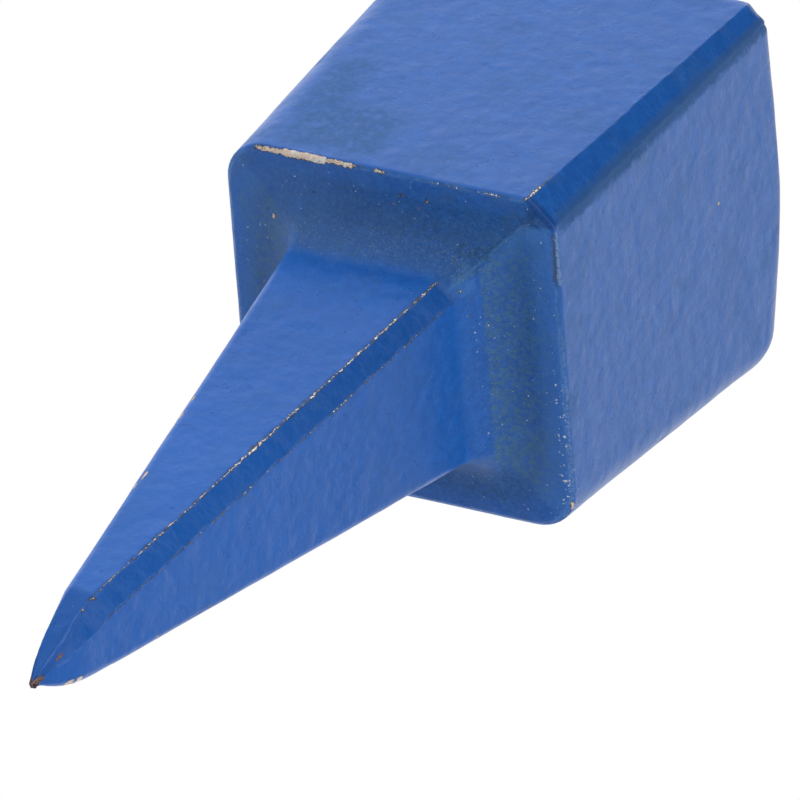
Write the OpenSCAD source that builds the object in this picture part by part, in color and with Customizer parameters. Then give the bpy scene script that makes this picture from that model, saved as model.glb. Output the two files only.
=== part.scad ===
// Scythe peening anvil: a drop-forged block with a ground face, on a square spike for a log.
// Z is the axis of the anvil and points up to the working face. Z = 0 is the shoulder.
// The two dies part on the diagonal plane through Z, so two long edges carry the trimmed
// flash as a flat land, and the other two are rounded like the bottom of the dies.
// All sizes are in millimetres, and angles are in degrees.

/* [Block] */
// Width of the block at the shoulder
shoulder_w = 40.5; // [38.5:0.5:50]
// Width of the block at the working face
face_w = 44.5; // [41:0.5:56]
// Height from the shoulder to the working face
block_h = 48.5; // [36:0.5:70]
// Radius, at the shoulder, of the two long edges that the dies formed round
block_edge_r = 5; // [1.5:0.1:6]
// Radius of the same two edges at the working face
face_edge_r = 3.6; // [1.5:0.1:6]
// Rounding between the shoulder and the sides
shoulder_edge_r = 0.6; // [0.3:0.1:1.5]
// Draft of each half of the shoulder
shoulder_draft = 0.5; // [0:0.25:4]

/* [Working face] */
// Depth of the hardened zone below the working face
face_depth = 11; // [9:0.5:16]
// Fall of the rounded rim in the middle of a side
rim_drop = 1.6; // [0.8:0.1:3]
// Reach of the rounded rim over the face in the middle of a side
rim_reach = 1.6; // [0.8:0.1:3]
// Fall of the rim at the two corners that the dies formed round
round_corner_drop = 7.4; // [3:0.1:8.5]
// Reach of the rim over the face at those two corners
round_corner_reach = 5.8; // [2:0.1:8]
// Fall of the rim at the two corners on the flash line
flash_corner_drop = 3.4; // [1:0.1:6]
// Reach of the rim over the face at the corners on the flash line
flash_corner_reach = 2.8; // [1:0.1:5]

/* [Trimmed flash] */
// Width of the trimmed land on the block, at the shoulder
block_land_w = 4.7; // [2:0.1:6]
// Width of the trimmed land on the block, at the working face
face_land_w = 3.1; // [1.5:0.1:6]
// Width of the trimmed land on the spike
spike_land_w = 2.8; // [1:0.1:4]
// Width of the flash seam that crosses the shoulder
seam_w = 0.8; // [0.4:0.1:2]

/* [Spike] */
// Length of the spike below the shoulder, to the tip
spike_len = 77; // [50:0.5:110]
// Length of the sharpened point
point_len = 12; // [6:0.5:25]
// Width of the spike across X, where its sides would meet the shoulder
root_w_x = 22.2; // [16:0.2:24]
// Width of the spike across Y, where its sides would meet the shoulder
root_w_y = 23.7; // [16:0.2:25]
// Width across X where the point starts
neck_w_x = 6; // [5:0.1:12]
// Width across Y where the point starts
neck_w_y = 8.4; // [5:0.1:12]
// Radius of the two rounded edges of the spike
spike_edge_r = 1.3; // [0.5:0.1:2.2]
// Radius of the fillet between the spike and the shoulder
root_fillet_r = 5.2; // [2:0.1:7]
// Width of the blunt tip
tip_w = 0.6; // [0.3:0.1:2]

/* [Hidden] */
paint = "#2456ab";
ground_steel = "#b9bcbf";
// Steps along a flat side, round a formed edge, across a land, and along a curve in height
side_steps = 8;
edge_steps = 8;
land_steps = 2;
curve_steps = 12;
corners = 4 * side_steps + 2 * edge_steps + 2 * land_steps;
// The land cuts the square corner at 45 degrees, so its leg is its width over root two
root_two = sqrt(2);
spike_leg = spike_land_w / root_two;
seam_leg = seam_w / root_two;
// The fillet ends where the flat of the shoulder still leaves room for the seam to spread
seam_spread = 1.4;
shoulder_flat = (shoulder_w - max(root_w_x, root_w_y)) / 2 - shoulder_edge_r - seam_spread;
fillet_r = min(root_fillet_r, shoulder_flat - 0.3);
// The root of the spike belongs to the block down to just past the fillet
root_h = fillet_r + 2;
// How full the point is between a straight pyramid, 1, and a blunt end, 0
point_fullness = 0.66;
// How tightly the fall of the rim gathers at the corners
corner_gather = 1.5;

// Half width of the block at a height above the shoulder
function block_half(z) = shoulder_w / 2 + (face_w - shoulder_w) / 2 * z / block_h;
// Leg of the land on the block at a height above the shoulder
function block_leg(z) = (block_land_w + (face_land_w - block_land_w) * z / block_h) / root_two;
// Half widths of the spike, as [x, y], at a depth below the shoulder
neck_depth = spike_len - point_len;
function spike_half(depth) =
    [root_w_x, root_w_y] / 2 + ([neck_w_x, neck_w_y] - [root_w_x, root_w_y]) / 2 * depth / neck_depth;

// Points on the way from p to q, without q
function side(p, q, n) = [for (i = [0:n - 1]) p + (q - p) * i / n];
// Points on a quarter turn about c from a given angle, without the last
function quarter(c, r, from) =
    [for (i = [0:edge_steps - 1]) let (a = from + 90 * i / edge_steps) c + r * [cos(a), sin(a)]];
// A square with two edges rounded by the dies and two cut off by the trimmed flash
function outline(h, r, leg) = concat(
    side([h.x, leg - h.y], [h.x, h.y - r], side_steps),
    quarter([h.x - r, h.y - r], r, 0),
    side([h.x - r, h.y], [leg - h.x, h.y], side_steps),
    side([leg - h.x, h.y], [-h.x, h.y - leg], land_steps),
    side([-h.x, h.y - leg], [-h.x, r - h.y], side_steps),
    quarter([r - h.x, r - h.y], r, 180),
    side([r - h.x, -h.y], [h.x - leg, -h.y], side_steps),
    side([h.x - leg, -h.y], [h.x, leg - h.y], land_steps));

// Radius of the round long edges at a height above the shoulder
function round_edge_r(z) = block_edge_r + (face_edge_r - block_edge_r) * z / block_h;
// The outline of the block at a height, and one point of it
function block_outline(z) = outline([1, 1] * block_half(z), round_edge_r(z), block_leg(z));
function block_point(i, z) = block_outline(z)[i];
// A point moved towards the axis, so that the side it is on moves in by d
function moved_in(p, z, d) = p * (block_half(z) - d) / block_half(z);
// The outline of the spike at a depth, kept open where the point gets thin
function spike_outline(h) =
    outline(h, min(spike_edge_r, 0.6 * min(h.x, h.y)), min(spike_leg, 0.8 * min(h.x, h.y)));

// Height of the drafted shoulder over a point: lowest on the flash line, rising to both sides
function draft_rise(p) = tan(shoulder_draft) * abs(p.x + p.y) / root_two;
// 0 in the middle of a side of the block and 1 in its corners
function cornerness(p) = pow(abs(p.x * p.y) / pow(max(abs(p.x), abs(p.y)), 2), corner_gather);
// A value that goes from the middle of a side to the kind of corner that p is near
function rim_value(p, middle, round_corner, flash_corner) =
    middle + ((p.x * p.y > 0 ? round_corner : flash_corner) - middle) * cornerness(p);

// A flat ring of points at one height
function level(points, z) = [for (p = points) [p.x, p.y, z]];

// The concave ring of the root fillet at an angle: 0 on the spike, 90 on the shoulder
function fillet_ring(a) =
    let (out = fillet_r * (1 - cos(a)), down = fillet_r * (1 - sin(a)))
    let (leg = spike_leg + (seam_leg - spike_leg) * (1 - cos(a)))
    let (points = outline(spike_half(down) + [out, out], spike_edge_r + out, leg))
    [for (p = points) [p.x, p.y, draft_rise(p) * sin(a) - down]];

// The flat of the shoulder just inside its edge, where the seam is still narrow
function seam_ring() =
    let (h = block_half(0) - shoulder_edge_r - seam_spread)
    [for (p = outline([h, h], block_edge_r, 1.5 * seam_leg)) [p.x, p.y, draft_rise(p)]];

// The rounded ring between the shoulder and the sides at an angle: 0 below, 90 at the side
function shoulder_edge_ring(a) = [
    for (i = [0:corners - 1])
        let (rise = draft_rise(block_point(i, 0)), z = rise + shoulder_edge_r * (1 - cos(a)))
        let (p = moved_in(block_point(i, z), z, shoulder_edge_r * (1 - sin(a))))
        [p.x, p.y, z]
];

// The ring of the rounded rim of the working face at an angle: 0 at the side, 90 on the face
function rim_ring(a) = [
    for (i = [0:corners - 1])
        let (at = block_point(i, block_h))
        let (drop = rim_value(at, rim_drop, round_corner_drop, flash_corner_drop))
        let (reach = rim_value(at, rim_reach, round_corner_reach, flash_corner_reach))
        let (z = block_h - drop * (1 - sin(a)))
        let (p = moved_in(block_point(i, z), z, reach * (1 - cos(a))))
        [p.x, p.y, z]
];

// The ring of the point at a share of its length above the tip
function point_ring(share) =
    let (h = spike_half(neck_depth) * pow(share, point_fullness))
    level(spike_outline([max(h.x, tip_w / 2), max(h.y, tip_w / 2)]), point_len * share - spike_len);

// A closed solid through rings of equal length, from the lowest ring to the highest, whose
// two flat ends are fans about a point on the axis
module skin(rings) {
    n = len(rings[0]);
    last = len(rings) - 1;
    floor_centre = n * len(rings);
    top_centre = floor_centre + 1;
    walls = [
        for (k = [0:last - 1], i = [0:n - 1])
            let (a = k * n + i, b = k * n + (i + 1) % n)
            each [[a, a + n, b + n], [a, b + n, b]]
    ];
    floor_fan = [for (i = [0:n - 1]) [i, (i + 1) % n, floor_centre]];
    top_fan = [for (i = [0:n - 1]) [last * n + (i + 1) % n, last * n + i, top_centre]];
    centres = [[0, 0, rings[0][0].z], [0, 0, rings[last][0].z]];
    polyhedron(points = concat([for (r = rings) each r], centres), faces = concat(walls, floor_fan, top_fan));
}

// Hardened top of the block, with its ground flat inside a rounded rim
module working_face() {
    rim = [for (i = [0:curve_steps]) rim_ring(90 * i / curve_steps)];
    seam_z = block_h - face_depth;
    color(ground_steel) skin(concat([level(block_outline(seam_z), seam_z)], rim));
}

// Flared body with the drafted shoulder, the root fillet and the root of the spike
module block() {
    root = level(spike_outline(spike_half(root_h)), -root_h);
    fillet = [for (i = [0:curve_steps]) fillet_ring(90 * i / curve_steps)];
    edge = [for (i = [0:4]) shoulder_edge_ring(90 * i / 4)];
    seam_z = block_h - face_depth;
    color(paint) skin(concat([root], fillet, [seam_ring()], edge, [level(block_outline(seam_z), seam_z)]));
}

// Tapered shank that is driven into the log
module spike() {
    neck = level(spike_outline(spike_half(neck_depth)), -neck_depth);
    root = level(spike_outline(spike_half(root_h)), -root_h);
    color(paint) skin([neck, root]);
}

// Sharpened end of the spike, fuller than a plain pyramid
module spike_point() {
    color(paint) skin([for (i = [0:curve_steps]) point_ring(i / curve_steps)]);
}

working_face();
block();
spike();
spike_point();
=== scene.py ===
import math

import bmesh
import bpy
from mathutils import Matrix, Vector, noise


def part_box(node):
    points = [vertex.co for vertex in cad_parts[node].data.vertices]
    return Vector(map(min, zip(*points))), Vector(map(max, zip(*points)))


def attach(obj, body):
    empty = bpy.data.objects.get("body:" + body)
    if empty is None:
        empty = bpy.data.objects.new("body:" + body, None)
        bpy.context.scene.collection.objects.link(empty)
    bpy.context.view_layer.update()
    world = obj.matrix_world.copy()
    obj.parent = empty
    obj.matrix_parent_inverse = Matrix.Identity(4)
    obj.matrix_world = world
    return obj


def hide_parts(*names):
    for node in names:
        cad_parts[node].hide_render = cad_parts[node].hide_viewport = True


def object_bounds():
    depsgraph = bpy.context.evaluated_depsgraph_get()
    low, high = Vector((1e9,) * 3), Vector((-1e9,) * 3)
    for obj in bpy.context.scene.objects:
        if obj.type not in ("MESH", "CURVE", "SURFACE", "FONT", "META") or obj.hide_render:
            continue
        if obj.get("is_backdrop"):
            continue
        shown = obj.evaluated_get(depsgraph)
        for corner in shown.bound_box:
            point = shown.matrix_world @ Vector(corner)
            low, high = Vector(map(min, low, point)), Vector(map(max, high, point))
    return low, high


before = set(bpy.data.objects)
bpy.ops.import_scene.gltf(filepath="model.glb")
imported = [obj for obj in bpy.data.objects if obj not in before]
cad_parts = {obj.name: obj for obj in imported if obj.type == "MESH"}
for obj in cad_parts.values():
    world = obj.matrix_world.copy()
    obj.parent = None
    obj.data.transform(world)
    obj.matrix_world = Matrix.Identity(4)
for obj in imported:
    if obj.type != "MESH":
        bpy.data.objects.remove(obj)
cad_low, cad_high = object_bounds()

# The forging
# One billet of steel, closed between two dies that part on a diagonal plane. It is built from
# flat slices, each a square with two corners rounded by the dies and two cut off where the flash
# was trimmed, and the slices are bridged from the tip up to the working face.
MM = 0.001
CLOSE = 1e-6  # heights closer than this are taken as one
TIP_Z, FACE_Z = cad_low.z, cad_high.z
NECK_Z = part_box("spike")[0].z
ROOT_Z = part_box("block")[0].z
HARD_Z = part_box("working_face")[0].z

SHOULDER_HALF, FACE_HALF = 20.25 * MM, cad_high.x
ROOT_HALF, NECK_HALF, TIP_HALF = (11.1 * MM, 11.85 * MM), (3.0 * MM, 4.2 * MM), 0.3 * MM
ROUND_AT_SHOULDER, ROUND_AT_FACE, ROUND_ON_SPIKE = 5.0 * MM, 3.6 * MM, 1.3 * MM
# The land cuts a corner off at 45 degrees; its leg is its width over root two
LEG_AT_SHOULDER, LEG_AT_FACE, LEG_ON_SPIKE, SEAM_LEG = 3.32 * MM, 2.19 * MM, 1.98 * MM, 0.57 * MM
LAND_EDGE = 1 / 12  # of the leg: how far tumbling has eased the two sharp borders of the land
ROOT_FILLET, SHOULDER_EDGE, SEAM_SPREAD, RIM = 5.2 * MM, 0.6 * MM, 1.4 * MM, 1.6 * MM
FILLET_TO_EDGE = 3.2 * MM  # the narrowest flat between the root fillet and the shoulder's edge
POINT_FULLNESS = 0.66
LAND_NARROWS = 2.2  # how soon, going round the root fillet, the land has narrowed to the seam
SEAM_FLARE = 1.5  # how much wider the seam is where it nears the edge of the shoulder
FAR = 40 * MM  # what a slice says of an edge that it is nowhere near

# Rings along each curve, rings that are cut into the walls between them, cuts across the sides
# and the lands, and rings of the ground flat
POINT_RINGS, FILLET_RINGS, EDGE_RINGS, RIM_RINGS = 12, 16, 4, 12
POINT_CUTS, SPIKE_CUTS, ROOT_CUTS = 2, 130, 4
FLAT_CUTS, SEAM_CUTS, BLOCK_CUTS, FACE_CUTS = 3, 4, 84, 20
SIDE_CUTS, LAND_CUTS, FLAT_RINGS = 72, 14, 44
POINT, SPIKE, BLOCK, FACE = range(4)

forging = bmesh.new()
# What the finishes need to know of each place: how far it is from the borders of the trimmed
# land, its middle line, the edge of the shoulder and the edge of the ground face, and how much
# of the shoulder's draft it takes
LAND, ACROSS, EDGE, RIM_AWAY, DRAFT, LEG = [
    forging.verts.layers.float.new(name) for name in ("land", "across", "edge", "rim", "draft", "leg")]
SKIN_NORMAL = forging.verts.layers.float_vector.new("skin_normal")
IN_RING = forging.edges.layers.int.new("in_ring")


def slice_of_forging(z, half_x, half_y, round_r, land_leg, edge=FAR, rim=FAR, draft=0.0):
    """A flat slice through the forging at one height, as a closed ring of edges."""
    before = set(forging.edges)
    turned = Matrix.Rotation(math.pi / 4, 4, "Z")
    place = Matrix.Translation((0, 0, z)) @ Matrix.Diagonal((half_x, half_y, 1, 1)) @ turned
    square = bmesh.ops.create_circle(forging, cap_ends=True, segments=4, radius=math.sqrt(2), matrix=place)
    formed = [v for v in square["verts"] if v.co.x * v.co.y > 0]
    trimmed = [v for v in square["verts"] if v.co.x * v.co.y < 0]
    bmesh.ops.bevel(forging, geom=formed, offset=round_r, offset_type="OFFSET", affect="VERTICES",
                    segments=10, profile=0.5, material=-1)
    cut = bmesh.ops.bevel(forging, geom=trimmed, offset=land_leg, offset_type="OFFSET", affect="VERTICES",
                          segments=1, profile=0.5, material=-1)
    bmesh.ops.bevel(forging, geom=cut["verts"], offset=land_leg * LAND_EDGE, offset_type="OFFSET",
                    affect="VERTICES", segments=2, profile=0.5, material=-1)
    ring = [e for e in forging.edges if e not in before]
    bmesh.ops.delete(forging, geom=[f for f in forging.faces if len(f.verts) > 4], context="FACES_ONLY")
    for e in ring:
        e[IN_RING] = 1
    for v in {v for e in ring for v in e.verts}:
        flash_side = 1 if v.co.x > v.co.y else -1
        v[ACROSS] = flash_side * (v.co.x + v.co.y) - (half_x - half_y)
        v[LEG], v[EDGE], v[RIM_AWAY], v[DRAFT] = land_leg, edge, rim, draft
    return ring


def between(low, high, share):
    return low + (high - low) * share


def block_half(z):
    return between(SHOULDER_HALF, FACE_HALF, z / FACE_Z)


def block_slice(z, moved_in=0.0, **marks):
    """A slice of the block, moved in from its sides by a distance, as its rounded ends need."""
    shrink = 1 - moved_in / block_half(z)
    round_r = between(ROUND_AT_SHOULDER, ROUND_AT_FACE, z / FACE_Z) * shrink
    leg = between(LEG_AT_SHOULDER, LEG_AT_FACE, z / FACE_Z) * shrink
    half = block_half(z) * shrink
    return slice_of_forging(z, half, half, round_r, leg, **marks)


def spike_half(z):
    return [between(root, neck, z / NECK_Z) for root, neck in zip(ROOT_HALF, NECK_HALF)]


def to_edge(turn):
    """How far a place in the root fillet is from the edge of the shoulder, along the skin."""
    return -FILLET_TO_EDGE - ROOT_FILLET * (math.pi / 2 - turn)


def spike_slice(z, half):
    round_r, leg = min(ROUND_ON_SPIKE, 0.6 * min(half)), min(LEG_ON_SPIKE, 0.8 * min(half))
    return slice_of_forging(z, *half, round_r, leg, edge=to_edge(0) + z + ROOT_FILLET)


# Each entry is a ring, how many rings the wall above it is cut into, and its zone
rings = []
for i in range(POINT_RINGS + 1):
    share = i / POINT_RINGS
    half = [max(h * share ** POINT_FULLNESS, TIP_HALF) for h in NECK_HALF]
    ring = spike_slice(between(TIP_Z, NECK_Z, share), half)
    rings.append((ring, POINT_CUTS, POINT) if i < POINT_RINGS else (ring, SPIKE_CUTS, SPIKE))
rings.append((spike_slice(ROOT_Z, spike_half(ROOT_Z)), ROOT_CUTS, BLOCK))
for i in range(FILLET_RINGS + 1):
    turn = math.pi / 2 * i / FILLET_RINGS
    out, down = ROOT_FILLET * (1 - math.cos(turn)), ROOT_FILLET * (1 - math.sin(turn))
    half = spike_half(-down)
    leg = between(LEG_ON_SPIKE, SEAM_LEG, min(1, LAND_NARROWS * (1 - math.cos(turn))))
    ring = slice_of_forging(-down, half[0] + out, half[1] + out, ROUND_ON_SPIKE + out, leg,
                            edge=to_edge(turn), draft=math.sin(turn))
    rings.append((ring, 0 if i < FILLET_RINGS else FLAT_CUTS, BLOCK))
seam_half = SHOULDER_HALF - SHOULDER_EDGE - SEAM_SPREAD
rings.append((slice_of_forging(0, seam_half, seam_half, ROUND_AT_SHOULDER, SEAM_FLARE * SEAM_LEG,
                               edge=-SHOULDER_EDGE / 2 - SEAM_SPREAD, draft=1), SEAM_CUTS, BLOCK))
for i in range(EDGE_RINGS + 1):
    turn = math.pi / 2 * i / EDGE_RINGS
    ring = block_slice(SHOULDER_EDGE * (1 - math.cos(turn)), SHOULDER_EDGE * (1 - math.sin(turn)),
                       edge=SHOULDER_EDGE * (turn - math.pi / 4), draft=1)
    rings.append((ring, 0 if i < EDGE_RINGS else BLOCK_CUTS, BLOCK))
rings.append((block_slice(HARD_Z, edge=HARD_Z, rim=FACE_Z - HARD_Z), FACE_CUTS, FACE))
for i in range(RIM_RINGS + 1):
    turn = math.pi / 2 * i / RIM_RINGS
    ring = block_slice(FACE_Z - RIM * (1 - math.sin(turn)), RIM * (1 - math.cos(turn)),
                       rim=RIM * (math.pi / 2 - turn))
    rings.append((ring, 0, FACE))

for (low, cuts, zone), (high, _, _) in zip(rings, rings[1:]):
    wall = bmesh.ops.bridge_loops(forging, edges=low + high)["faces"]
    for f in wall:
        f.material_index = zone
    ends = set(low) | set(high)
    uprights = list({e for f in wall for e in f.edges if e not in ends})
    if cuts:
        cut = bmesh.ops.subdivide_edges(forging, edges=uprights, cuts=cuts, use_grid_fill=True)
        for e in cut["geom_inner"]:
            if isinstance(e, bmesh.types.BMEdge):
                e[IN_RING] = 1

# The long flat sides and the lands are cut across as well, until no face is much over 0.6 mm
sides, lands = [], []
for e in [e for e in forging.edges if e[IN_RING]]:
    run, middle = e.verts[1].co - e.verts[0].co, (e.verts[0].co + e.verts[1].co) / 2
    if min(abs(run.x), abs(run.y)) < 0.002 * max(abs(run.x), abs(run.y)):
        sides.append(e)
    elif e.verts[0][ACROSS] * e.verts[1][ACROSS] < 0 and middle.x * middle.y < 0:
        lands.append(e)
bmesh.ops.subdivide_edges(forging, edges=sides, cuts=SIDE_CUTS, use_grid_fill=True)
bmesh.ops.subdivide_edges(forging, edges=lands, cuts=LAND_CUTS, use_grid_fill=True)

# The ground face is drawn in from the rim, ring by ring, and closed on the axis
inner = [e for e in forging.edges if e.is_boundary and e.verts[0].co.z > FACE_Z - CLOSE]
for i in range(FLAT_RINGS - 1):
    drawn = bmesh.ops.extrude_edge_only(forging, edges=inner)["geom"]
    moved = [v for v in drawn if isinstance(v, bmesh.types.BMVert)]
    inner = [e for e in drawn if isinstance(e, bmesh.types.BMEdge) and e.is_boundary]
    left = 1 - (i + 1) / FLAT_RINGS
    bmesh.ops.scale(forging, verts=moved, vec=(left / (1 - i / FLAT_RINGS),) * 2 + (1,))
    for v in moved:
        v[RIM_AWAY] = (left - 1) * (FACE_HALF - RIM)
hub = bmesh.ops.holes_fill(forging, edges=inner)["faces"]
bmesh.ops.poke(forging, faces=hub)
for f in forging.faces:
    if f.calc_center_median().z > FACE_Z - CLOSE:
        f.material_index = FACE
for v in forging.verts:
    v[LAND] = abs(v[ACROSS]) - v[LEG]
tip = bmesh.ops.holes_fill(forging, edges=[e for e in forging.edges if e.is_boundary])["faces"]
bmesh.ops.poke(forging, faces=tip)


def by_corners(f):
    """A number for a face from its three first vertices."""
    first, second, third = sorted(v.index for v in f.verts)[:3]
    return (first * len(forging.verts) + second) * len(forging.verts) + third


# Extruding lists its faces in another order each time, so they are put in one that stays
forging.verts.index_update()
forging.faces.sort(key=by_corners)

# What forging, trimming and grinding leave on it
# The rim falls away at the corners that the dies did not fill. The shoulder has draft, and a
# raised flash line with a step between the dies. The point is ground on one side, and the skin
# sinks and swells where the scale flaked off.
CORNER_GATHER = 1.5
ROUND_CORNER = {"drop": 7.4 * MM, "reach": 5.8 * MM}
FLASH_CORNER = {"drop": 3.4 * MM, "reach": 2.8 * MM}
SHOULDER_DRAFT = math.radians(0.5)


def towards_corner(co, size):
    """RIM in the middle of a side, growing to what the nearest corner has."""
    gathered = (abs(co.x * co.y) / max(abs(co.x), abs(co.y)) ** 2) ** CORNER_GATHER
    return between(RIM, (ROUND_CORNER if co.x * co.y > 0 else FLASH_CORNER)[size], gathered)


for v in forging.verts:
    v.co.z += v[DRAFT] * math.tan(SHOULDER_DRAFT) * abs(v.co.x + v.co.y) / math.sqrt(2)
    if v.co.z < HARD_Z + CLOSE or v.co.xy.length < CLOSE:
        continue
    drop, reach, start = towards_corner(v.co, "drop"), towards_corner(v.co, "reach"), FACE_Z - RIM
    if v.co.z <= start:
        z = between(HARD_Z, FACE_Z - drop, (v.co.z - HARD_Z) / (start - HARD_Z))
        scale = block_half(z) / block_half(v.co.z)
    elif v[RIM_AWAY] < 0:
        z, scale = FACE_Z, (FACE_HALF - reach) / (FACE_HALF - RIM)
    else:
        sine = 1 - (FACE_Z - v.co.z) / RIM
        turned_in = 1 - math.sqrt(max(0.0, 1 - sine * sine))
        z = FACE_Z - drop * (1 - sine)
        scale = (block_half(z) - reach * turned_in) / (block_half(v.co.z) - RIM * turned_in)
    v.co.x, v.co.y, v.co.z = v.co.x * scale, v.co.y * scale, z

# The point is fuller on the two sides away from the grinding, and blunt at its very end
SWELL, BLUNT, BLUNT_SHARE = 0.28, 1.6, 0.03
for v in forging.verts:
    if v.co.z < NECK_Z:
        share = max(0.0, (v.co.z - TIP_Z) / (NECK_Z - TIP_Z))
        swelling = SWELL * max(0.0, math.sin(math.pi * share ** 0.6)) ** 1.5
        fuller = 1 + swelling + BLUNT * math.exp(-share / BLUNT_SHARE)
        v.co.x *= fuller if v.co.x > 0 else 1
        v.co.y *= fuller if v.co.y > 0 else 1

# The point is ground flat on the -Y side
GROUND_NORMAL, GROUND_AT = Vector((-0.034, -0.9355, -0.3515)).normalized(), 26.87 * MM
GROUND_TOP = NECK_Z + 4 * MM
for v in forging.verts:
    beyond = v.co.dot(GROUND_NORMAL) - GROUND_AT
    if beyond > 0 and v.co.z < GROUND_TOP:
        v.co -= GROUND_NORMAL * beyond

# Sinks in the skin, from broad to fine: how far apart and how deep
SINKS = ((15 * MM, 0.12 * MM), (4.5 * MM, 0.06 * MM), (2.0 * MM, 0.035 * MM))
# On the block the border of the land towards X is rolled over by the trimming die
ROLLED_REACH, ROLLED_DEPTH = 1.1 * MM, 0.20 * MM
# The step between the dies on the shoulder, which starts inside its edge, and the bead on it
STEP_START, STEP_RUN, STEP_REACH, STEP_H = 0.8 * MM, 0.25 * MM, 5 * MM, 0.22 * MM
BEAD_H, BEAD_W = 0.02 * MM, 0.35 * MM
NIBBLE_DEPTH, NIBBLE_WIDTH, NIBBLE_APART = 0.2 * MM, 0.5 * MM, 1.2 * MM
# The shoulder rolls over towards its edge, most on the +X side
ROLL_REACH, ROLL_DROP, ROLL_DROP_X, ROLL_PAST = 2.8 * MM, 0.22 * MM, 0.42 * MM, 0.3 * MM
# Single dents, in millimetres: middle, half sizes and depth. They are the notch where the land
# meets the shoulder, the lap along the edge of the shoulder, and a hollow beside the root fillet
DENTS = (((17.6, -18.6, 0.2), (1.1, 1.1, 1.0), 0.30),
         ((20.3, -13.6, 0.1), (0.7, 3.4, 0.7), 0.16),
         ((11.4, -12.4, -1.6), (0.9, 1.8, 1.2), 0.20))
dents = [(Vector(middle) * MM, Vector(half) * MM, depth * MM) for middle, half, depth in DENTS]


def rough(co, apart, shift=0.0):
    """Smooth noise from 0 to 1 with swells about so far apart."""
    return 0.5 + 0.5 * noise.noise(co / apart + Vector((shift, shift, shift)))


forging.normal_update()
for v in forging.verts:
    if v[RIM_AWAY] < 0:
        continue
    co = v.co.copy()
    flash_side = co.x * co.y < 0
    sunk = sum(depth * rough(co, apart, depth / MM) for apart, depth in SINKS)
    if flash_side and v[LAND] < 0:
        sunk *= 0.5
    near_border = max(0.0, 1 - abs(v[LAND]) / NIBBLE_WIDTH) if flash_side else 0.0
    near_edge = max(0.0, 1 - abs(v[EDGE]) / NIBBLE_WIDTH)
    ragged = max(0.0, rough(co, NIBBLE_APART, 7.0) * 1.6 - 0.55)
    sunk += NIBBLE_DEPTH * ragged * max(near_border, 0.6 * near_edge)
    if flash_side and co.z > SHOULDER_EDGE and v[ACROSS] > 0 and abs(v[LAND]) < ROLLED_REACH:
        sunk += ROLLED_DEPTH * (1 - abs(v[LAND]) / ROLLED_REACH) ** 2
    if flash_side and v[DRAFT] > 0 and v[EDGE] < -STEP_START:
        step = min(1.0, max(0.0, 0.5 + v[ACROSS] / STEP_RUN))
        step *= math.exp(-max(0.0, v[ACROSS]) / STEP_REACH)
        sunk -= v[DRAFT] * (STEP_H * step + BEAD_H * math.exp(-(v[ACROSS] / BEAD_W) ** 2))
    if -ROLL_REACH < v[EDGE] <= ROLL_PAST:
        rolled = (1 + min(0.0, v[EDGE]) / ROLL_REACH) ** 2
        sunk += rolled * (ROLL_DROP_X if co.x > abs(co.y) else ROLL_DROP) * max(0.0, -v.normal.z)
    for middle, half, depth in dents:
        away = co - middle
        if max(abs(away.x) / half.x, abs(away.y) / half.y, abs(away.z) / half.z) < 1:
            sunk += depth * max(0.0, 1 - sum((a / h) ** 2 for a, h in zip(away, half))) ** 1.5
    v.co -= v.normal * sunk
    v.co.z = max(v.co.z, TIP_Z)

# The finishes read the distances in millimetres
forging.normal_update()
for v in forging.verts:
    v[SKIN_NORMAL] = v.normal
    for distance in (LAND, ACROSS, EDGE, RIM_AWAY):
        v[distance] /= MM


def zone_of_forging(name, zone):
    """One zone of the forging, closed with a flat cap where the next zone starts."""
    part = forging.copy()
    bmesh.ops.delete(part, geom=[f for f in part.faces if f.material_index != zone], context="FACES")
    ends = [e for e in part.edges if e.is_boundary]
    caps = bmesh.ops.poke(part, faces=bmesh.ops.holes_fill(part, edges=ends)["faces"])["faces"]
    for f in part.faces:
        f.smooth, f.material_index = True, 0
    for f in caps:
        f.smooth = False
    for e in ends:
        e.smooth = False
    mesh = bpy.data.meshes.new(name)
    part.to_mesh(mesh)
    part.free()
    # The whole forging's normals, so that no line shows where two zones meet
    skin = [tuple(n.vector) for n in mesh.attributes["skin_normal"].data]
    mesh.normals_split_custom_set(
        [skin[i] if p.use_smooth else tuple(p.normal) for p in mesh.polygons for i in p.vertices])
    for spare in ("skin_normal", "in_ring", "draft", "leg"):
        mesh.attributes.remove(mesh.attributes[spare])
    piece = bpy.data.objects.new(name, mesh)
    bpy.context.scene.collection.objects.link(piece)
    return piece


# The enamel on block and spike
# One coat of blue over forged scale. It is thin on the sharp edges of the trimmed land, where it
# has chipped to primer and steel, and dusty in the shoulder.
def feed(socket, value):
    """Links a socket to another, or sets it to a value."""
    if isinstance(value, bpy.types.NodeSocket):
        socket.id_data.links.new(value, socket)
    else:
        socket.default_value = value


def add(tree, kind, inputs=None, **options):
    """A node in a tree, with its options set and its inputs fed."""
    made = tree.nodes.new(kind)
    for name, value in options.items():
        setattr(made, name, value)
    for name, value in (inputs or {}).items():
        feed(made.inputs[name], value)
    return made


def calc(operation, a, b=0.0, c=0.0):
    """Arithmetic on sockets and numbers, in the tree of the first socket."""
    tree = next(value.id_data for value in (a, b, c) if isinstance(value, bpy.types.NodeSocket))
    return add(tree, "ShaderNodeMath", {0: a, 1: b, 2: c}, operation=operation).outputs[0]


def times(value, *others):
    """Masks and shares multiplied, so that all of them have to let a finish through."""
    for other in others:
        value = calc("MULTIPLY", value, other)
    return value


def most(value, *others):
    """The largest of several masks."""
    for other in others:
        value = calc("MAXIMUM", value, other)
    return value


def plus(value, more, share):
    """A value with a share of another one added to it."""
    return calc("MULTIPLY_ADD", more, share, value)


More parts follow.
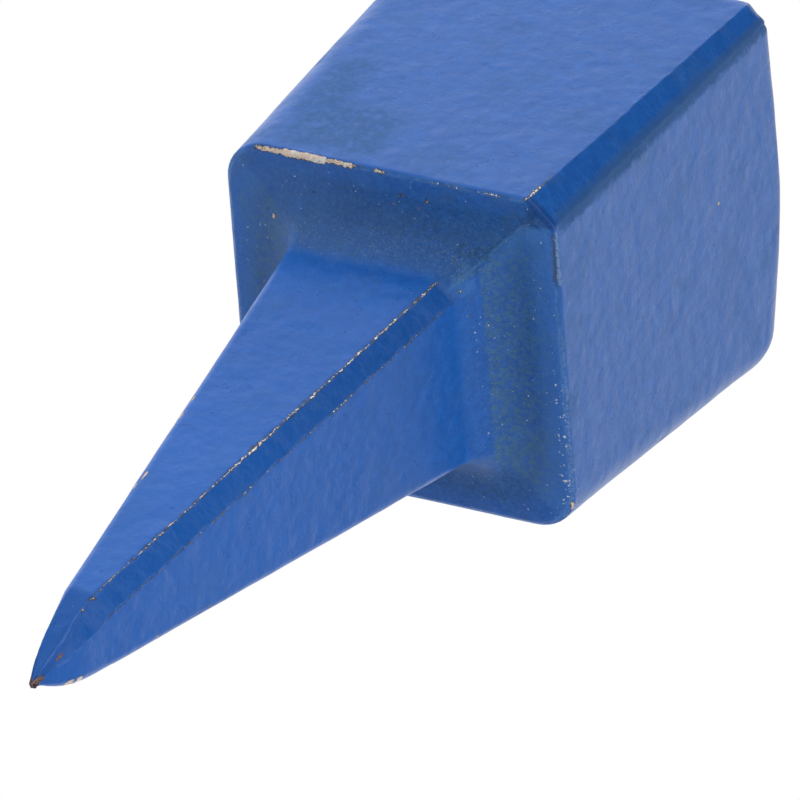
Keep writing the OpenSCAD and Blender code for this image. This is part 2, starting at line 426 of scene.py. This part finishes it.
def rest(mask):
    """What a mask leaves free."""
    return calc("SUBTRACT", 1.0, mask)


def vector(operation, a, b=(0, 0, 0)):
    """Arithmetic on vectors, which gives a number for a length or a dot product."""
    made = add(a.id_data, "ShaderNodeVectorMath", {0: a, 1: b}, operation=operation)
    return made.outputs["Value" if operation in ("LENGTH", "DOT_PRODUCT") else "Vector"]


def fade(value, start, end):
    """0 at start and 1 at end, with soft shoulders."""
    made = add(value.id_data, "ShaderNodeMapRange", {"Value": value, "From Min": start, "From Max": end},
               interpolation_type="SMOOTHSTEP")
    return made.outputs["Result"]


def over(colour, tone, *masks):
    """A colour with a tone laid over it, as far as all the masks let it through."""
    share = times(*masks)
    return add(share.id_data, "ShaderNodeMix", {0: share, 6: colour, 7: tone}, data_type="RGBA").outputs[2]


def grain(place, size, detail=2.0, roughness=0.5):
    """Noise from 0 to 1 with features of about so many millimetres."""
    made = add(place.id_data, "ShaderNodeTexNoise", {"Vector": place, "Scale": 1000.0 / size,
                                                     "Detail": detail, "Roughness": roughness})
    return made.outputs["Fac"]


def uneven(place, reach, size, detail=2.0, roughness=0.5):
    """The same noise, from -reach to reach."""
    return plus(-reach, grain(place, size, detail, roughness), 2 * reach)


def mark(tree, name):
    """A distance that the forging carries, in millimetres."""
    return add(tree, "ShaderNodeAttribute", attribute_name=name).outputs["Fac"]


def place_on(tree):
    """Where a point is in the shared frame, in metres."""
    return add(tree, "ShaderNodeTexCoord").outputs["Object"]


def effect(name, inputs, outputs):
    """A node group with named inputs and outputs. Gives its tree and its two ends."""
    tree = bpy.data.node_groups.new(name, "ShaderNodeTree")
    for label, value in inputs.items():
        kind = "NodeSocketVector" if isinstance(value, tuple) else "NodeSocketFloat"
        tree.interface.new_socket(label, in_out="INPUT", socket_type=kind).default_value = value
    for label, kind in outputs.items():
        tree.interface.new_socket(label, in_out="OUTPUT", socket_type="NodeSocket" + kind)
    return tree, tree.nodes.new("NodeGroupInput").outputs, tree.nodes.new("NodeGroupOutput").inputs


def place_effect(tree, group, inputs):
    """A node group placed in a tree with its own values."""
    return add(tree, "ShaderNodeGroup", inputs, node_tree=group).outputs


# Paint that has chipped off along an edge: bare where Bare is 1, with a dark broken rim.
# An Amount of 0 leaves half of the edge bare, and one of -1 only a fleck here and there
chipping, given, gives = effect(
    "chipped edge", {"Distance": 10.0, "Reach": 0.2, "Amount": 0.0}, {"Bare": "Float", "Rim": "Float"})
at = place_on(chipping)
fine, bouts = uneven(at, 6.0, 0.34, 3.0, 0.7), uneven(at, 1.5, 3.5, 1.0)
away = calc("ABSOLUTE", calc("ADD", given["Distance"], uneven(at, 0.25, 1.1)))
level = calc("ADD", calc("ADD", fine, bouts), given["Amount"])
level = calc("SUBTRACT", level, calc("DIVIDE", away, given["Reach"]))
feed(gives["Bare"], fade(level, -0.08, 0.08))
feed(gives["Rim"], fade(level, -2.4, -1.0))

# How deep a place is, in millimetres, inside a box with rounded sides
inside, given, gives = effect(
    "inside patch", {"Radius": 1.0, "Middle": (0, 0, 0), "Half size": (0, 0, 0)}, {"Depth": "Float"})
off = vector("MULTIPLY", place_on(inside), (1000, 1000, 1000))
off = vector("ABSOLUTE", vector("SUBTRACT", off, given["Middle"]))
off = vector("MAXIMUM", vector("SUBTRACT", off, given["Half size"]), (0, 0, 0))
feed(gives["Depth"], calc("SUBTRACT", given["Radius"], vector("LENGTH", off)))

# Heights of the forged skin under the paint, in millimetres: swells of three sizes, and pits
skin, given, gives = effect("forged skin", {"Peel": 0.03, "Pits": 0.03}, {"Height": "Float"})
at = place_on(skin)
height = 0.0
for size, detail, share in ((3.0, 1.0, 2.4), (1.3, 2.0, 1.1), (0.4, 2.0, 0.24)):
    height = plus(height, grain(at, size, detail), times(given["Peel"], share))
pits = times(fade(grain(at, 1.7, 1.0), 0.58, 0.85), given["Pits"])
feed(gives["Height"], calc("SUBTRACT", height, pits))

# Scoring left across the land by the trimming die, at a slant, from 0 to 1
SLANT, ACROSS_LAND, DRAWN_OUT = math.radians(13.9), math.radians(45), 0.24
scoring, given, gives = effect("trimming marks", {"Spread": 1.0}, {"Marks": "Float"})
turned = {"Vector": place_on(scoring), "Rotation": (0, SLANT, ACROSS_LAND)}
turned = add(scoring, "ShaderNodeMapping", turned, vector_type="TEXTURE").outputs[0]
drawn = add(scoring, "ShaderNodeMapping", {"Vector": turned, "Scale": (DRAWN_OUT, 1.0, 1.0)}).outputs[0]
marks = plus(times(grain(drawn, 0.24, 3.0, 0.65), 0.65), grain(drawn, 0.9), 0.35)
feed(gives["Marks"], times(marks, given["Spread"]))

# The coat itself, with all that has happened to it. Heights, places and distances in it are in
# millimetres
coat, given, gives = effect(
    "enamel over forging", {"Wear": 0.0, "Dust and shade": 1.0},
    {"Color": "Color", "Roughness": "Float", "Metallic": "Float", "Height": "Float"})
at = place_on(coat)
land, across, edge = mark(coat, "land"), mark(coat, "across"), mark(coat, "edge")
axes = add(coat, "ShaderNodeSeparateXYZ", {0: at}).outputs
x, y, z = [times(axes[axis], 1000.0) for axis in "XYZ"]
TIP, NECK = TIP_Z / MM, NECK_Z / MM
on_x_side = fade(calc("SUBTRACT", calc("ABSOLUTE", x), calc("ABSOLUTE", y)), -0.6, 0.6)
on_land = fade(land, 0.15, -0.25)
on_spike = fade(z, -3.6, -4.8)
on_shoulder = times(fade(edge, -11.5, -10.0), fade(edge, 0.3, -0.3))
wander = uneven(at, 1.2, 2.5, 3.0)
ragged = uneven(at, 0.8, 0.8, 4.0, 0.6)


def depth_in(middle, half, radius):
    """How deep a place on the coat is inside a box, given by its middle and half size, with a
    radius round it."""
    return place_effect(coat, inside, {"Middle": middle, "Half size": half, "Radius": radius})["Depth"]


# Colour of the paint: thicker and thinner, speckled, and under a film that is worst in stains
ENAMEL, DEEP_ENAMEL, PALE_ENAMEL = (0.0095, 0.089, 0.352, 1), (0.006, 0.070, 0.30, 1), (0.014, 0.112, 0.43, 1)
FILM = (0.030, 0.090, 0.20, 1)
STAINS = (((-9.0, -20.5, 7.0), (4.0, 1.0, 3.0), 3.5), ((-14.0, -20.5, 15.0), (1.0, 1.0, 4.0), 3.0),
          ((20.3, 4.6, 2.0), (1.0, 1.5, 0.6), 1.9), ((20.3, 10.6, 0.8), (1.0, 1.2, 0.3), 1.4))
colour = over(ENAMEL, DEEP_ENAMEL, fade(grain(at, 0.9, 4.0, 0.7), 0.36, 0.64), 0.6)
colour = over(colour, PALE_ENAMEL, fade(grain(at, 1.6, 4.0, 0.7), 0.45, 0.70), 0.6)
film = fade(grain(at, 7.0, 5.0, 0.6), 0.50, 0.68)
for stain in STAINS:
    film = most(film, times(fade(calc("ADD", depth_in(*stain), wander), 0.0, 3.0), 1.6))
film = times(film, fade(grain(at, 0.9, 4.0, 0.7), 0.25, 0.65))
colour = over(colour, FILM, film, 0.42)
speckle = grain(at, 0.26, 3.0, 0.7)
colour = over(colour, DEEP_ENAMEL, fade(speckle, 0.50, 0.72), 0.45)
colour = over(colour, PALE_ENAMEL, fade(speckle, 0.50, 0.28), 0.45)

# The land is scored, and the ground side of the point is painted darker, as painted shade
SCORED, SHADED_GROUND_FACET, PAINTED_SHADE_BLUE = (0.018, 0.135, 0.45, 1), (0.004, 0.053, 0.215, 1), (0.004, 0.046, 0.195, 1)
marks = place_effect(coat, scoring, {"Spread": 1.0})["Marks"]
scored = times(on_land, plus(1.0, on_spike, -0.6))
colour = over(colour, SCORED, fade(marks, 0.50, 0.68), scored, 0.42)
colour = over(colour, DEEP_ENAMEL, fade(marks, 0.50, 0.36), scored, 0.6)
to_grinder = vector("DOT_PRODUCT", at, tuple(GROUND_NORMAL / MM))
facing_grinder = times(fade(to_grinder, GROUND_AT / MM - 0.26, GROUND_AT / MM - 0.19),
                       fade(plus(z, ragged, 0.5), NECK + 0.8, NECK + 0.1))
# Painted shade on the ground facet of the point
colour = over(colour, SHADED_GROUND_FACET, facing_grinder, 0.9)
# Painted shade on the land, deeper on the spike
colour = over(colour, PAINTED_SHADE_BLUE, on_land, plus(0.12, on_spike, 0.20))

# The spike is lighter towards the point. The block's sides are chalky, more so towards X
LIGHTER_SPIKE, CHALK = (0.011, 0.112, 0.450, 1), (0.16, 0.25, 0.36, 1)
on_sides = times(fade(z, 0.3, 1.2), rest(on_land))
colour = over(colour, LIGHTER_SPIKE, fade(z, -12.0, -45.0), 0.45)
colour = over(colour, CHALK, on_sides, plus(0.045, on_x_side, 0.06))
# So are the shoulder away from the land, and the strip along its edge towards X, which is painted lighter and
# mottled
MOTTLED = (0.020, 0.130, 0.440, 1)
ragged_edge = plus(edge, ragged, 0.5)
chalky = most(times(fade(x, 6.0, -6.0), 0.07), times(on_x_side, fade(ragged_edge, -2.6, -1.9), 0.10))
colour = over(colour, CHALK, chalky, on_shoulder)
lighter_strip = times(on_x_side, fade(ragged_edge, -3.4, -2.2))
mottled = plus(times(lighter_strip, 0.4), fade(grain(at, 0.5, 4.0, 0.7), 0.45, 0.62), 0.36)
colour = over(colour, MOTTLED, mottled, on_shoulder)

# The paint is thin on the edges, which also carry a painted highlight; a painted highlight runs on the seam
# across the shoulder, and painted light lies on the raised side of it
THIN_ENAMEL_AND_HIGHLIGHT = (0.06, 0.19, 0.45, 1)
PALE_SPOT = (10.6, -11.0, -3.2), (0.4, 1.0, 0.8), 0.9
thin_and_highlit_edges = times(fade(calc("ABSOLUTE", edge), 0.55, 0.15), fade(grain(at, 1.2, 3.0), 0.35, 0.60))
seam = times(on_shoulder, fade(calc("ABSOLUTE", calc("SUBTRACT", across, 0.1)), 0.40, 0.15))
colour = over(colour, THIN_ENAMEL_AND_HIGHLIGHT, most(times(thin_and_highlit_edges, rest(on_land)), seam), 0.45)
lit_side = times(fade(across, 0.0, 0.15), fade(calc("ADD", across, wander), 4.0, 1.0),
                 on_shoulder, fade(edge, -6.5, -4.0))
colour = over(colour, THIN_ENAMEL_AND_HIGHLIGHT, lit_side, 0.36)
# A paler spot in the root fillet, by the land
colour = over(colour, THIN_ENAMEL_AND_HIGHLIGHT, fade(plus(depth_in(*PALE_SPOT), ragged, 0.5), 0.0, 0.7), 0.30)
# Painted shade in the dent where the land runs out into the shoulder
NOTCH_SHADE = (18.9, -18.9, 0.2), (1.1, 1.1, 0.6), 1.0
colour = over(colour, PAINTED_SHADE_BLUE, fade(plus(depth_in(*NOTCH_SHADE), ragged, 0.4), 0.0, 0.6), 0.75)
# The paint on the edge of the shoulder towards X is scuffed, and carries a painted highlight
SCUFF_AND_HIGHLIGHT = (0.20, 0.30, 0.47, 1)
by_edge_x = times(fade(x, 18.5, 19.0), fade(y, -9.0, 4.0))
scuffed_and_highlit = fade(calc("ABSOLUTE", calc("ADD", plus(edge, ragged, 0.8), -0.25)), 0.50, 0.05)
scuffed_and_highlit = times(scuffed_and_highlit, by_edge_x, fade(grain(at, 0.35, 3.0, 0.7), 0.40, 0.62))
colour = over(colour, SCUFF_AND_HIGHLIGHT, scuffed_and_highlit, 0.50)

# Dirt and painted shade in the bottom of the shoulder, olive dust on it, and dirt and dust with painted shade
# along the border of the land
DIRT_AND_SHADE, DUST, LAND_DIRT_AND_SHADE = (0.006, 0.052, 0.135, 1), (0.062, 0.150, 0.100, 1), (0.017, 0.062, 0.135, 1)
PALE_DUST = (0.20, 0.29, 0.30, 1)
SHADOW_SPOT = (11.0, -13.4, -1.2), (1.7, 0.3, 0.4), 0.8
from_spike = calc("SUBTRACT", edge, plus(-10.2, on_x_side, 2.4))
wandering = calc("ADD", edge, wander)
band = times(fade(plus(from_spike, wander, 0.25), -0.2, 0.4), fade(wandering, -0.6, -3.6))
# Painted shade on the shoulder beside the seam, on the side away from its raised half
beside_seam = times(fade(across, -5.0, -1.0), fade(across, 0.1, -0.2), on_shoulder)
shifted = plus(edge, wander, 0.4)
# A band of painted shade across the shoulder
dark_band = times(fade(shifted, -7.4, -6.4), fade(shifted, -1.2, -3.2), fade(x, -12.0, -4.0))
dirt_and_shade = times(most(times(band, 0.4), dark_band, beside_seam), rest(on_x_side))
# A painted shadow line where the root fillet meets the seam
dirt_and_shade = most(dirt_and_shade, times(fade(plus(depth_in(*SHADOW_SPOT), ragged, 0.6), 0.0, 0.8), 1.8))
granular = fade(grain(at, 0.45, 4.0, 0.7), 0.34, 0.60)
# Dirt and painted shade laid on the shoulder
colour = over(colour, DIRT_AND_SHADE, dirt_and_shade, granular, 0.42, given["Dust and shade"])
dusty = times(band, plus(0.28, on_x_side, 0.72), given["Dust and shade"], plus(1.0, lit_side, -0.75))
colour = over(colour, DUST, dusty, fade(grain(at, 0.50, 4.0, 0.75), 0.42, 0.60), 0.48)
brushed = calc("ADD", plus(-1.5, marks, 3.0), plus(land, ragged, 0.7))
by_land = times(fade(brushed, -2.8, -0.6), fade(brushed, 1.4, 0.5), fade(across, 0.0, 1.0), fade(z, 0.8, 2.6))
# Dirt and a painted shadow line along the border of the land towards X
colour = over(colour, LAND_DIRT_AND_SHADE, by_land, 0.54)
in_fillet = times(fade(from_spike, -0.2, 0.8), fade(edge, -5.8, -7.4))
pale_grains = times(fade(grain(at, 0.21, 2.0, 0.6), 0.56, 0.70), plus(0.12, in_fillet, 0.36))
colour = over(colour, PALE_DUST, pale_grains, on_shoulder)

# The lap on the edge of the shoulder, with its share and tone, and flecks of dried paint and
# lime, mostly on the shoulder
BROKEN_RIM, BARE_STEEL = (0.028, 0.034, 0.040, 1), (0.66, 0.66, 0.62, 1)
LAP = (((19.8, -13.4, 0.45), (0, 3.0, 0.1), 0.30, 0.45, BROKEN_RIM),
       ((20.15, -13.4, 0.75), (0, 3.0, 0), 0.26, 0.70, CHALK))
torn = uneven(at, 1.5, 0.30, 3.0, 0.7)
for middle, half, radius, share, tone in LAP:
    depth = plus(plus(depth_in(middle, half, radius), torn, 0.32), ragged, 0.45)
    colour = over(colour, tone, fade(depth, 0.0, 0.12), share)
rare = plus(plus(0.81, on_shoulder, -0.08), times(by_edge_x, fade(wandering, 3.0, 1.0)), -0.10)
rare = calc("SUBTRACT", rare, uneven(at, 0.05, 9.0, 1.0))
flecks = fade(calc("SUBTRACT", grain(at, 0.40), rare), 0.0, 0.02)
colour = over(colour, BARE_STEEL, flecks, 0.75)

# Chips: a broken line on the border of the spike's land that faces Y, and few elsewhere
on_y_border = fade(across, 0.3, -0.3)
heavy = times(on_spike, plus(1.7, fade(z, -60.0, -38.0), 0.8), on_y_border)
light = times(on_spike, 1.1, rest(on_y_border))
sliver = times(fade(z, 0.2, 0.6), fade(z, 8.5, 3.0), on_y_border)
amount = calc("ADD", calc("ADD", heavy, light), plus(-5.5, most(on_spike, sliver), 3.5))
unchipped = most(times(on_shoulder, fade(edge, -0.5, -1.5)), fade(z, NECK - 0.5, NECK - 2.0))
amount = calc("SUBTRACT", plus(amount, sliver, 2.8), times(unchipped, 3.0))
by_border = place_effect(coat, chipping, {"Distance": land, "Reach": 0.13, "Amount": amount})
amount = plus(-3.4, times(fade(x, 2.0, 5.0), fade(x, 17.0, 14.0), fade(y, -19.0, -19.5)), 2.4)
by_edge = place_effect(coat, chipping, {"Distance": edge, "Reach": 0.20, "Amount": amount})
thin_line, bare = most(by_border["Bare"], by_edge["Bare"]), 0.0
rim = most(by_border["Rim"], times(by_edge["Rim"], 0.35))

# Single chips, the first seven in a row along the edge of the shoulder. All of them are torn, and
# the large ones ragged too
CHIPS = (((-14.4, -20.0, 0.35), (2.0, 0, 0), 0.40), ((-10.2, -20.05, 0.38), (2.4, 0, 0), 0.54),
         ((-6.7, -20.1, 0.28), (2.2, 0, 0), 0.46), ((-3.8, -20.15, 0.24), (0.9, 0, 0), 0.36),
         ((-0.9, -20.1, 0.25), (0.5, 0, 0), 0.36),
         ((1.6, -20.1, 0.25), (0.1, 0, 0), 0.24), ((3.3, -20.1, 0.2), (0.1, 0, 0), 0.18),
         ((-11.9, -16.9, 0), (0.2, 0, 0), 0.17), ((-9.0, -16.0, 0), (0.1, 0, 0), 0.15),
         ((9.1, -12.0, -1.9), (0.1, 0.2, 0.1), 0.24), ((10.6, -10.0, -3.9), (0, 0.1, 0.1), 0.08),
         ((11.2, -6.8, -3.3), (0, 0, 0.1), 0.16), ((19.9, 17.1, 0.5), (0, 0.5, 0.3), 0.22),
         ((1.7, 2.3, -72.5), (0.2, 0.2, 0.35), 0.24), ((1.9, 2.6, -71.0), (0.2, 0.3, 0.25), 0.20),
         ((1.3, -3.9, -65.7), (0.25, 0, 0.25), 0.12), ((0.8, -3.4, -67.4), (0, 0, 0.2), 0.08),
         ((-4.4, -6.4, -45.4), (0, 0, 0.6), 0.15), ((-4.6, -6.0, -47.2), (0, 0, 0.4), 0.14),
         ((-6.4, -7.9, -31.6), (0, 0, 0.3), 0.14), ((-6.1, -7.5, -34.6), (0, 0, 0.6), 0.13),
         ((-15.2, -12.8, 0), (0.1, 0.1, 0), 0.17), ((-14.2, -12.1, 0), (0.1, 0.1, 0), 0.15),
         ((-16.9, -17.9, 0), (0, 0, 0.1), 0.15), ((1.7, -17.8, 0), (0.2, 0.1, 0), 0.17),
         ((4.9, -17.6, 0), (0.1, 0.1, 0), 0.19), ((-8.9, -18.7, 0), (0.1, 0, 0), 0.14),
         ((-16.9, -11.1, 0), (0.1, 0, 0), 0.12), ((21.6, -3.6, 34.1), (0, 0, 0), 0.24))
LARGE_CHIP = 0.29
for middle, half, radius in CHIPS:
    depth = plus(depth_in(middle, half, radius), ragged, 0.45 * radius if radius > LARGE_CHIP else 0.0)
    depth = plus(depth, torn, min(0.20, radius))
    bare = most(bare, fade(depth, 0.0, 0.04))
    rim = most(rim, fade(depth, -0.09, -0.02))

# Primer and steel show in a chip, with rust in both, and the tip has rusted through
PRIMER, BRIGHT_STEEL = (0.66, 0.53, 0.44, 1), (0.82, 0.84, 0.82, 1)
RUST, DARK_RUST = (0.26, 0.13, 0.045, 1), (0.055, 0.042, 0.032, 1)
RUST_SPOTS = (((0.8, -16.6, 0), (0.2, 0, 0), 0.20), ((3.9, -16.6, 0), (0, 0, 0), 0.22),
              ((1.2, -1.1, -73.0), (0, 0, 0.5), 0.25), ((0.6, 0.0, -76.2), (0, 0, 0.4), 0.40),
              ((12.2, 10.8, -2.2), (0, 0.2, 0), 0.20))
rusty = times(fade(plus(z, ragged, 0.8), TIP + 1.1, TIP + 0.6), given["Wear"])
for spot in RUST_SPOTS:
    rusty = most(rusty, fade(plus(depth_in(*spot), ragged, 0.3), 0.0, 0.12))
under = over(PRIMER, BARE_STEEL, fade(grain(at, 1.0, 3.0), 0.50, 0.62))
under = over(under, DARK_RUST, fade(grain(at, 0.30, 3.0), 0.56, 0.66), 0.4)
in_line = over(PRIMER, BRIGHT_STEEL, fade(grain(at, 0.22, 3.0, 0.7), 0.38, 0.54))
in_line = over(in_line, DARK_RUST, fade(grain(at, 0.27, 2.0), 0.52, 0.62), 0.8)
colour = over(colour, BROKEN_RIM, rim, 0.85)
colour = over(colour, in_line, thin_line)
colour = over(colour, under, bare)
rust = over(RUST, DARK_RUST, fade(grain(at, 0.35, 3.0), 0.40, 0.60))
colour = over(colour, rust, rusty, 0.85)
feed(gives["Color"], colour)

# Dust, dirt, film and bare metal are duller than the paint, and the land is a little smoother
bare = most(bare, thin_line)
roughness = plus(0.22, grain(at, 2.5, 4.0, 0.6), 0.14)
roughness = plus(roughness, most(dusty, film), 0.20)
roughness = plus(plus(roughness, on_land, -0.07), by_land, 0.35)
roughness = most(roughness, times(most(bare, rusty), 0.55))
feed(gives["Roughness"], roughness)
feed(gives["Metallic"], times(bare, 0.2))

height = place_effect(coat, skin, {"Peel": 0.07, "Pits": 0.020})["Height"]
for relief, share in ((times(marks, scored), 0.07), (times(granular, on_shoulder), 0.03),
                      (flecks, 0.04), (bare, -0.09)):
    height = plus(height, relief, share)
feed(gives["Height"], height)

ENAMEL_IOR = 1.48


def new_material(name):
    """A material, with its tree and the inputs of its Principled shader."""
    material = bpy.data.materials.new(name)
    material.use_nodes = True
    shader = material.node_tree.nodes["Principled BSDF"].inputs
    shader["IOR"].default_value = ENAMEL_IOR
    return material, material.node_tree, shader


def raise_skin(tree, height):
    """A height in millimetres as a bump."""
    return add(tree, "ShaderNodeBump", {"Strength": 1.0, "Distance": MM, "Height": height}).outputs["Normal"]


def enamelled(name, wear, dust_and_shade):
    """A material of the enamel, with its own amount of wear, and of dust and painted shade."""
    material, tree, shader = new_material(name)
    layer = place_effect(tree, coat, {"Wear": wear, "Dust and shade": dust_and_shade})
    feed(shader["Base Color"], layer["Color"])
    feed(shader["Roughness"], layer["Roughness"])
    feed(shader["Metallic"], layer["Metallic"])
    feed(shader["Normal"], raise_skin(tree, layer["Height"]))
    return material


blue_enamel = enamelled("blue_enamel", 0.0, 1.0)
for name, zone, node in (("forged_block", BLOCK, "block"), ("forged_spike", SPIKE, "spike")):
    piece = zone_of_forging(name, zone)
    piece.data.materials.append(blue_enamel)
    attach(piece, "root")
    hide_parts(node)

# The point
# The same steel and enamel, ground flat on one side and rubbed through towards the tip, which
# has rusted.
worn_enamel = enamelled("worn_enamel", 1.0, 0.4)
point = zone_of_forging("ground_point", POINT)
point.data.materials.append(worn_enamel)
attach(point, "root")
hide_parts("spike_point")

# The working face
# The hardened top of the block, ground flat through the enamel inside its rounded rim, with
# grinding lines in three directions, light hammer marks and the first spots of rust.
GROUND, GROUND_DARK, STRAW = (0.56, 0.57, 0.58, 1), (0.33, 0.335, 0.34, 1), (0.42, 0.36, 0.26, 1)
# Turn in degrees, width in millimetres and share of each pass over the grinder
PASSES = ((4, 0.16, 0.45), (-3, 0.45, 0.35), (9, 1.1, 0.20))
MARKS_PER_METRE = 190.0

ground, given, gives = effect(
    "ground steel", {"Grinding": 0.012, "Hammer marks": 0.03},
    {"Color": "Color", "Roughness": "Float", "Height": "Float"})
at = place_on(ground)
lines = 0.0
for degrees, size, share in PASSES:
    turned = {"Vector": at, "Rotation": (0, 0, math.radians(degrees))}
    turned = add(ground, "ShaderNodeMapping", turned).outputs[0]
    drawn = add(ground, "ShaderNodeMapping", {"Vector": turned, "Scale": (0.025, 1.0, 1.0)}).outputs[0]
    lines = plus(lines, grain(drawn, size, 3.0, 0.6), share)
cells = {"Vector": at, "Scale": MARKS_PER_METRE, "Randomness": 1.0}
cells = add(ground, "ShaderNodeTexVoronoi", cells).outputs
luck = add(ground, "ShaderNodeSeparateColor", {0: cells["Color"]}).outputs["Red"]
struck = times(fade(cells["Distance"], 0.34, 0.05), calc("GREATER_THAN", luck, 0.72))
spots = times(fade(grain(at, 0.7, 4.0, 0.65), 0.68, 0.76), 0.7)
colour = over(GROUND, GROUND_DARK, fade(lines, 0.62, 0.38))
colour = over(colour, STRAW, fade(grain(at, 9.0, 4.0, 0.6), 0.52, 0.72), 0.35)
feed(gives["Color"], over(colour, DARK_RUST, spots))
roughness = plus(plus(0.16, lines, 0.30), struck, -0.08)
feed(gives["Roughness"], most(roughness, times(spots, 0.8)))
height = calc("SUBTRACT", times(lines, given["Grinding"]), times(struck, given["Hammer marks"]))
feed(gives["Height"], height)

# The coat of paint ends at a ragged, broken border and stands above the steel
PAINT_DEPTH = 0.08
ground_steel, tree, shader = new_material("ground_steel")
paint = place_effect(tree, coat, {"Wear": 0.0, "Dust and shade": 0.5})
steel = place_effect(tree, ground, {"Grinding": 0.012, "Hammer marks": 0.03})
border = calc("ADD", mark(tree, "rim"), uneven(place_on(tree), 1.0, 1.8, 5.0, 0.7))
cut = fade(border, 0.32, 0.22)
kept = rest(cut)
colour = over(paint["Color"], BROKEN_RIM, fade(border, 0.52, 0.34), 0.8)
feed(shader["Base Color"], over(colour, steel["Color"], cut))
feed(shader["Roughness"], calc("ADD", times(paint["Roughness"], kept), times(steel["Roughness"], cut)))
feed(shader["Metallic"], most(times(paint["Metallic"], kept), times(cut, 0.9)))
height = plus(times(calc("ADD", paint["Height"], PAINT_DEPTH), kept), steel["Height"], cut)
feed(shader["Normal"], raise_skin(tree, height))

face = zone_of_forging("working_face_top", FACE)
face.data.materials.append(ground_steel)
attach(face, "root")
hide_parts("working_face")

# The studio
# A pale floor under the tip, a light tent, three lamps, and the camera of the photograph, which
# looks up from below the shoulder, so the floor is clear when it is seen from its back.
FLOOR_HALF, FLOOR_GAP = 4.0, 0.3 * MM
floor_net = bmesh.new()
under_tip = Matrix.Translation((0, 0, TIP_Z - FLOOR_GAP))
bmesh.ops.create_grid(floor_net, x_segments=1, y_segments=1, size=FLOOR_HALF, matrix=under_tip)
floor_mesh = bpy.data.meshes.new("floor")
floor_net.to_mesh(floor_mesh)
floor = bpy.data.objects.new("floor", floor_mesh)
bpy.context.scene.collection.objects.link(floor)
floor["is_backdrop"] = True

pale = bpy.data.materials.new("pale_floor")
pale.use_nodes = True
tree = pale.node_tree
tree.nodes.clear()
ray = add(tree, "ShaderNodeLightPath").outputs
# It is duller in reflections, so that the shoulder keeps its colour, and white far off
grey = plus(0.83, ray["Is Glossy Ray"], -0.72)
grey = add(tree, "ShaderNodeCombineColor", {0: grey, 1: grey, 2: grey}).outputs[0]
matt = add(tree, "ShaderNodeBsdfDiffuse", {"Color": grey}).outputs[0]
white = add(tree, "ShaderNodeEmission", {"Color": (1, 1, 1, 1), "Strength": 1.0}).outputs[0]
far_off = fade(vector("LENGTH", place_on(tree)), 0.25, 1.3)
seen = most(ray["Is Camera Ray"], ray["Is Glossy Ray"], ray["Is Transmission Ray"])
top = add(tree, "ShaderNodeMixShader", {0: times(far_off, seen), 1: matt, 2: white}).outputs[0]
clear = add(tree, "ShaderNodeBsdfTransparent").outputs[0]
from_back = add(tree, "ShaderNodeNewGeometry").outputs["Backfacing"]
both = add(tree, "ShaderNodeMixShader", {0: from_back, 1: top, 2: clear}).outputs[0]
add(tree, "ShaderNodeOutputMaterial", {"Surface": both})
floor.data.materials.append(pale)

# The camera stands back along BACK, and is moved a little so that the anvil sits as in the picture
RIGHT, BACK = Vector((0.873, 0.0674, 0.483)).normalized(), Vector((0.4506, -0.4904, -0.746))
BACK = (BACK - RIGHT * BACK.dot(RIGHT)).normalized()
UP = BACK.cross(RIGHT)
CAMERA_AWAY, MOVED_RIGHT, MOVED_UP = 1.04, 0.317 * MM, -6.625 * MM
camera = bpy.data.objects.new("camera", bpy.data.cameras.new("camera"))
bpy.context.scene.collection.objects.link(camera)
bpy.context.scene.camera = camera
camera.location = CAMERA_AWAY * BACK + MOVED_RIGHT * RIGHT + MOVED_UP * UP
camera.rotation_euler = Matrix((RIGHT, UP, BACK)).transposed().to_euler()
camera.data.lens = 435.7
camera.data.clip_start, camera.data.clip_end = 0.01, 20

# The tent is white for the camera. In reflections it has a black card, which the trimmed land
# mirrors, and two dull parts: direction, where each starts and is full, and what is left of it
AMBIENT, TENT = 0.42, 0.92
DIM_PARTS = (((0.46, -0.42, 0.78), 0.82, 0.92, 0.03), ((-0.52, -0.80, 0.30), 0.88, 0.99, 0.20),
             ((0.75, 0.60, 0.30), 0.86, 0.97, 0.38))
world = bpy.data.worlds.new("light_tent")
bpy.context.scene.world = world
world.use_nodes = True
tree = world.node_tree
background = tree.nodes["Background"].inputs
ray = add(tree, "ShaderNodeLightPath").outputs
direction = add(tree, "ShaderNodeTexCoord").outputs["Generated"]
bright = TENT
for towards, start, end, share in DIM_PARTS:
    near = vector("DOT_PRODUCT", direction, tuple(Vector(towards).normalized()))
    bright = times(bright, plus(1.0, fade(near, start, end), share - 1.0))
mirrored = most(ray["Is Glossy Ray"], ray["Is Transmission Ray"])
strength = calc("ADD", times(mirrored, bright), times(rest(mirrored), AMBIENT))
feed(background["Strength"], most(strength, ray["Is Camera Ray"]))
feed(background["Color"], (1, 1, 1, 1))


def softbox(name, towards, away, light, size):
    """A square lamp that gives so much light at the anvil, and is not seen or mirrored."""
    data = bpy.data.lights.new(name, "AREA")
    data.energy, data.size = light * (math.pi * away) ** 2, size
    lamp = bpy.data.objects.new(name, data)
    lamp.location = Vector(towards).normalized() * away
    lamp.rotation_euler = lamp.location.to_track_quat("Z", "Y").to_euler()
    lamp.visible_glossy = lamp.visible_camera = False
    bpy.context.scene.collection.objects.link(lamp)


softbox("key", (-0.62, -0.66, 0.42), 1.0, 1.04, 0.6)
softbox("fill", (0.87, 0.03, -0.10), 0.45, 0.76, 0.25)
softbox("back", (-0.35, 0.85, 0.40), 1.0, 0.60, 0.6)

bpy.context.scene.view_settings.view_transform = "Standard"
low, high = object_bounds()
